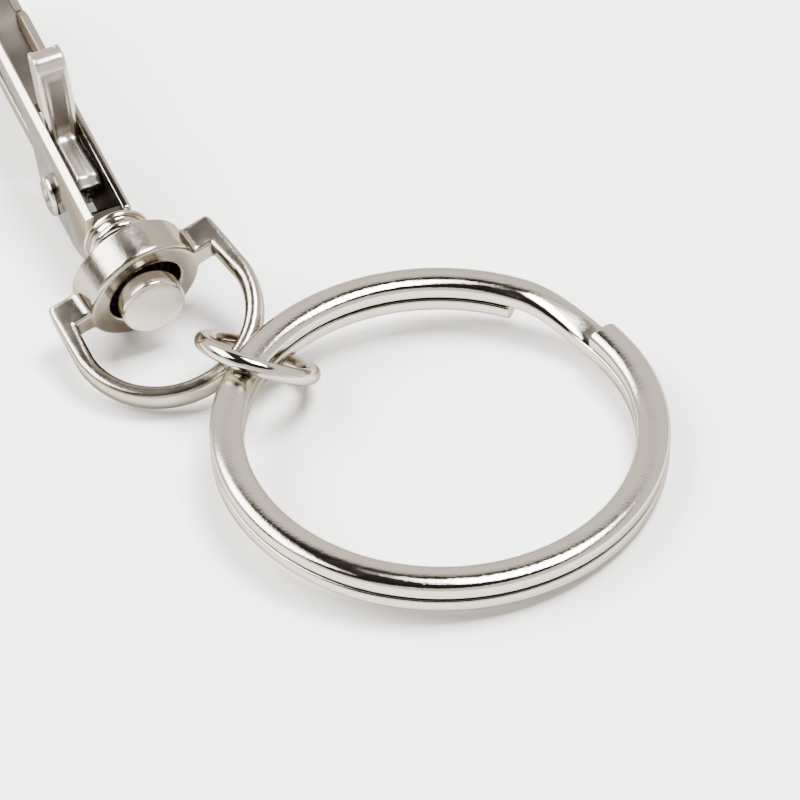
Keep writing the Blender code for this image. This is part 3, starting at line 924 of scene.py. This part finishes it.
def return_spring(surface):
    """Torsion spring round the rivet: a leg on the floor, the coil and a leg under the tail."""
    turns, steps, pitch = 2.5, 160, 0.27
    coil = []
    for i in range(steps + 1):
        angle = math.radians(-90) + math.tau * turns * i / steps
        x = pitch * turns * (i / steps - 0.5)
        coil.append(Vector((x, SPRING_RADIUS * math.cos(angle), SPRING_RADIUS * math.sin(angle))))
    start = coil[0] + Vector((0, -3.6, 0.25))
    end = coil[-1] + Vector((0, -3.2, 1.3))
    builder = bmesh.new()
    path = [start] + coil + [end]
    tube(builder, path, SPRING_WIRE / 2, sides=14, across=Vector((1, 0, 0)))
    return make_piece(builder, "return_spring_wire", PIVOT_FRAME, surface)


# -------------------------------------------------------------------------------------- stage
def matte(name, colour, roughness):
    made = bpy.data.materials.new(name)
    made.use_nodes = True
    shader = made.node_tree.nodes["Principled BSDF"]
    shader.inputs["Base Color"].default_value = (*colour, 1)
    shader.inputs["Roughness"].default_value = roughness
    return made


def floor():
    builder = bmesh.new()
    bmesh.ops.create_grid(builder, x_segments=1, y_segments=1, size=FLOOR_HALF_SIZE)
    paint = matte("floor_paint", FLOOR_PAINT, FLOOR_ROUGHNESS)
    make_piece(builder, "floor", Matrix.Identity(4), paint)


def direction(azimuth, zenith):
    """Unit vector; azimuth is measured from +Y towards +X and zenith from straight up."""
    a, z = math.radians(azimuth), math.radians(zenith)
    return Vector((math.sin(z) * math.sin(a), math.sin(z) * math.cos(a), math.cos(z)))


def softbox(name, towards, size, radiance):
    """A rectangular area light that faces the object; size is across and along the way up."""
    light = bpy.data.lights.new(name, "AREA")
    light.shape = "RECTANGLE"
    light.size, light.size_y = size
    light.energy = radiance * math.pi * size[0] * size[1]
    lamp = bpy.data.objects.new(name, light)
    bpy.context.scene.collection.objects.link(lamp)
    lamp.location = towards * SOFTBOX_DISTANCE
    lamp.rotation_euler = (-towards).to_track_quat("-Z", "Y").to_euler()


def lights():
    """Two softboxes, over the right side and the left, under a dark ceiling with pale walls."""
    for name, (azimuth, zenith, size, radiance) in SOFTBOXES.items():
        softbox(name, direction(azimuth, zenith), size, radiance)
    world = bpy.data.worlds.new("studio")
    bpy.context.scene.world = world
    world.use_nodes = True
    nodes, links = world.node_tree.nodes, world.node_tree.links
    place = nodes.new("ShaderNodeTexCoord")
    dark = None
    for azimuth, zenith, full, edge in DARK_PATCHES:
        patch = dark_patch(nodes, links, place, direction(azimuth, zenith), full, edge)
        if dark:
            joined = nodes.new("ShaderNodeMath")
            joined.operation = "MAXIMUM"
            links.new(dark, joined.inputs[0])
            links.new(patch, joined.inputs[1])
            patch = joined.outputs["Value"]
        dark = patch
    room = nodes.new("ShaderNodeMix")
    room.data_type = "RGBA"
    room.inputs["A"].default_value = WALL
    room.inputs["B"].default_value = CEILING
    links.new(dark, room.inputs["Factor"])
    links.new(room.outputs["Result"], nodes["Background"].inputs["Color"])
    nodes["Background"].inputs["Strength"].default_value = ROOM_STRENGTH


def dark_patch(nodes, links, place, axis, full, edge):
    """1 within full degrees of the axis, falling to 0 at edge degrees from it."""
    near = nodes.new("ShaderNodeVectorMath")
    near.operation = "DOT_PRODUCT"
    near.inputs[1].default_value = axis
    links.new(place.outputs["Generated"], near.inputs[0])
    border = nodes.new("ShaderNodeMapRange")
    border.interpolation_type = "SMOOTHSTEP"
    border.inputs["From Min"].default_value = math.cos(math.radians(edge))
    border.inputs["From Max"].default_value = math.cos(math.radians(full))
    links.new(near.outputs["Value"], border.inputs["Value"])
    return border.outputs["Result"]


def camera():
    """A long lens that looks down on the chain, square to the split ring's x axis."""
    tilt = math.radians(CAMERA_ELEVATION)
    ahead = Vector((0, math.cos(tilt), -math.sin(tilt)))
    right = Vector((1, 0, 0))
    up = right.cross(ahead)
    spot = right * CAMERA_AIM[0] + up * CAMERA_AIM[1] - ahead * CAMERA_DISTANCE
    lens = bpy.data.cameras.new("camera")
    lens.lens = CAMERA_LENS
    lens.sensor_width = 36.0
    lens.clip_start, lens.clip_end = 0.01, 10.0
    made = bpy.data.objects.new("camera", lens)
    bpy.context.scene.collection.objects.link(made)
    turn = Matrix((right, up, -ahead)).transposed().to_4x4()
    made.matrix_world = RING_FRAME @ Matrix.Translation(spot * MM) @ turn
    bpy.context.scene.camera = made


def main():
    surfaces = make_materials()
    pieces = {
        "split_ring": (split_ring, "ring", "ring_nickel"),
        "jump_ring": (jump_ring, "link", "link_nickel"),
        "swivel_bow": (swivel_bow, "bow", "bow_nickel"),
        "swivel_pin": (swivel_pin, "clasp", "pin_nickel"),
        "thrust_washer": (thrust_washer, "washer", "washer_nickel"),
        "clasp_body": (clasp_body, "clasp", "body_nickel"),
        "trigger_lever": (lever, "lever", "lever_nickel"),
        "pivot_rivet": (pivot_rivet, "clasp", "rivet_nickel"),
        "return_spring": (return_spring, "clasp", "spring_steel"),
    }
    for node, (make, body, slot) in pieces.items():
        piece = make(surfaces[node])
        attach(piece, body)
        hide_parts(node)
    floor()
    lights()
    camera()


main()
